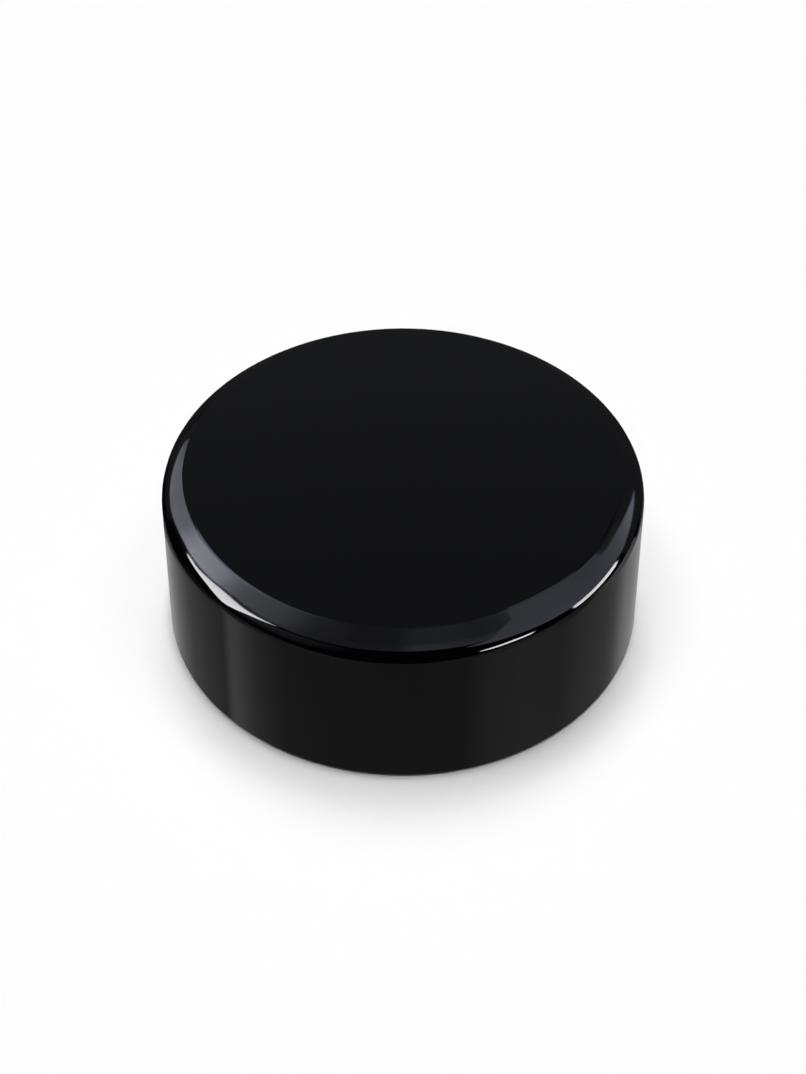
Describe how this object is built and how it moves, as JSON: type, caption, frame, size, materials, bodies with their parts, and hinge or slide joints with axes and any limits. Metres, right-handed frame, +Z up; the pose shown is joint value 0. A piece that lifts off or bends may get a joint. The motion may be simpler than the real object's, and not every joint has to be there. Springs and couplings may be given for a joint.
{
  "type": "screw cap",
  "caption": "Round moulded screw cap for a wide-mouth jar, with a flat top, a bevelled edge, a smooth skirt, an internal thread and a foam liner.",
  "frame": {"origin": "centre of the open rim, which the cap stands on", "axes": "+Z up along the cap's axis, from the open rim to the flat top"},
  "size_m": [0.062, 0.062, 0.0233],
  "materials": {
    "cap_plastic": "gloss",
    "liner_foam": "matte"
  },
  "bodies": {
    "root": {"cap_shell": "cap_plastic", "liner": "liner_foam"}
  },
  "joints": []
}
